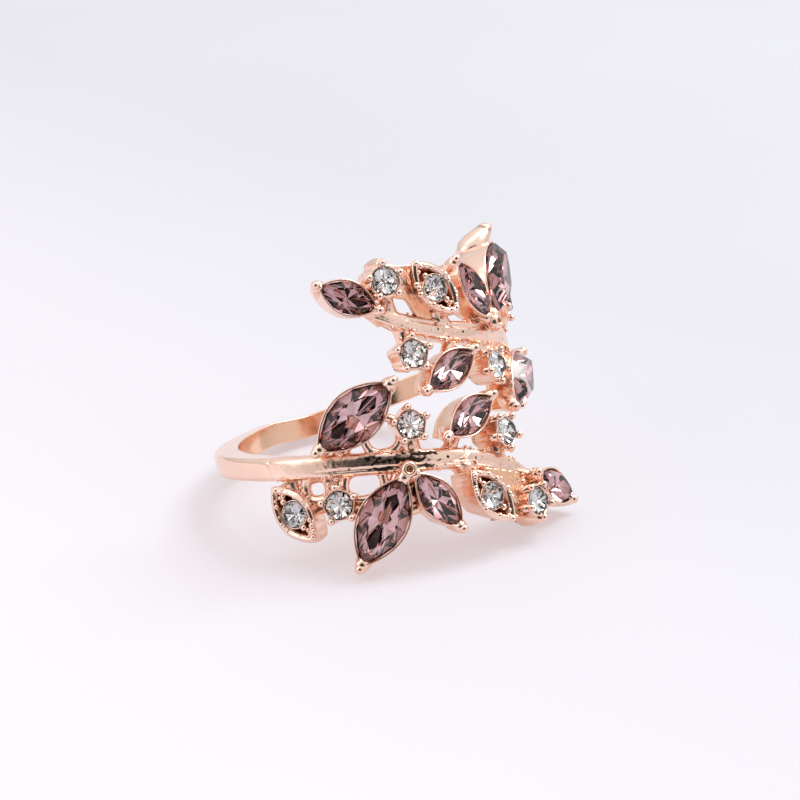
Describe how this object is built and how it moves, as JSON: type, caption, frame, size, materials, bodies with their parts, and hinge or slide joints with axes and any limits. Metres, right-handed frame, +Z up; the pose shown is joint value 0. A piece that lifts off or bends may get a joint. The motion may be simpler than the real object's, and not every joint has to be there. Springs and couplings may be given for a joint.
{
  "type": "spiral vine cocktail ring",
  "caption": "Rose gold spiral finger ring whose two flowering vine ends pass each other at the front, set with mauve leaf-shaped and small round clear crystals.",
  "frame": {"origin": "centre of the bounding box in plan, on the table that the ring lies on", "axes": "+Z up from the table; -Y towards the flowered front, which leans back; +X to the right of someone looking at the front; the finger's axis is (0.112, 0.434, 0.894)"},
  "size_m": [0.0222, 0.0238, 0.0185],
  "materials": {
    "rose_gold": "polished rose gold plate on cast metal",
    "mauve_crystal": "faceted foil-backed antique pink crystal",
    "clear_crystal": "faceted foil-backed clear crystal"
  },
  "bodies": {
    "root": {"shank": "rose_gold", "lower_vine_stem": "rose_gold", "lower_tip_leaf_setting": "rose_gold", "lower_tip_leaf_stone": "mauve_crystal", "lower_small_outer_leaf_setting": "rose_gold", "lower_small_outer_leaf_stone": "mauve_crystal", "lower_large_outer_leaf_setting": "rose_gold", "lower_large_outer_leaf_stone": "mauve_crystal", "lower_small_inner_leaf_setting": "rose_gold", "lower_small_inner_leaf_stone": "mauve_crystal", "lower_large_inner_leaf_setting": "rose_gold", "lower_large_inner_leaf_stone": "mauve_crystal", "lower_tip_round_setting": "rose_gold", "lower_tip_round_stone": "clear_crystal", "lower_mid_bud_setting": "rose_gold", "lower_mid_bud_stone": "clear_crystal", "lower_inner_round_setting": "rose_gold", "lower_inner_round_stone": "clear_crystal", "lower_crown_round_setting": "rose_gold", "lower_crown_round_stone": "clear_crystal", "lower_outer_round_setting": "rose_gold", "lower_outer_round_stone": "clear_crystal", "lower_root_bud_setting": "rose_gold", "lower_root_bud_stone": "clear_crystal", "upper_vine_stem": "rose_gold", "upper_tip_leaf_setting": "rose_gold", "upper_tip_leaf_stone": "mauve_crystal", "upper_small_outer_leaf_setting": "rose_gold", "upper_small_outer_leaf_stone": "mauve_crystal", "upper_large_outer_leaf_setting": "rose_gold", "upper_large_outer_leaf_stone": "mauve_crystal", "upper_small_inner_leaf_setting": "rose_gold", "upper_small_inner_leaf_stone": "mauve_crystal", "upper_large_inner_leaf_setting": "rose_gold", "upper_large_inner_leaf_stone": "mauve_crystal", "upper_tip_round_setting": "rose_gold", "upper_tip_round_stone": "clear_crystal", "upper_mid_bud_setting": "rose_gold", "upper_mid_bud_stone": "clear_crystal", "upper_inner_round_setting": "rose_gold", "upper_inner_round_stone": "clear_crystal", "upper_crown_round_setting": "rose_gold", "upper_crown_round_stone": "clear_crystal", "upper_outer_round_setting": "rose_gold", "upper_outer_round_stone": "clear_crystal", "upper_root_bud_setting": "rose_gold", "upper_root_bud_stone": "clear_crystal"}
  },
  "joints": []
}
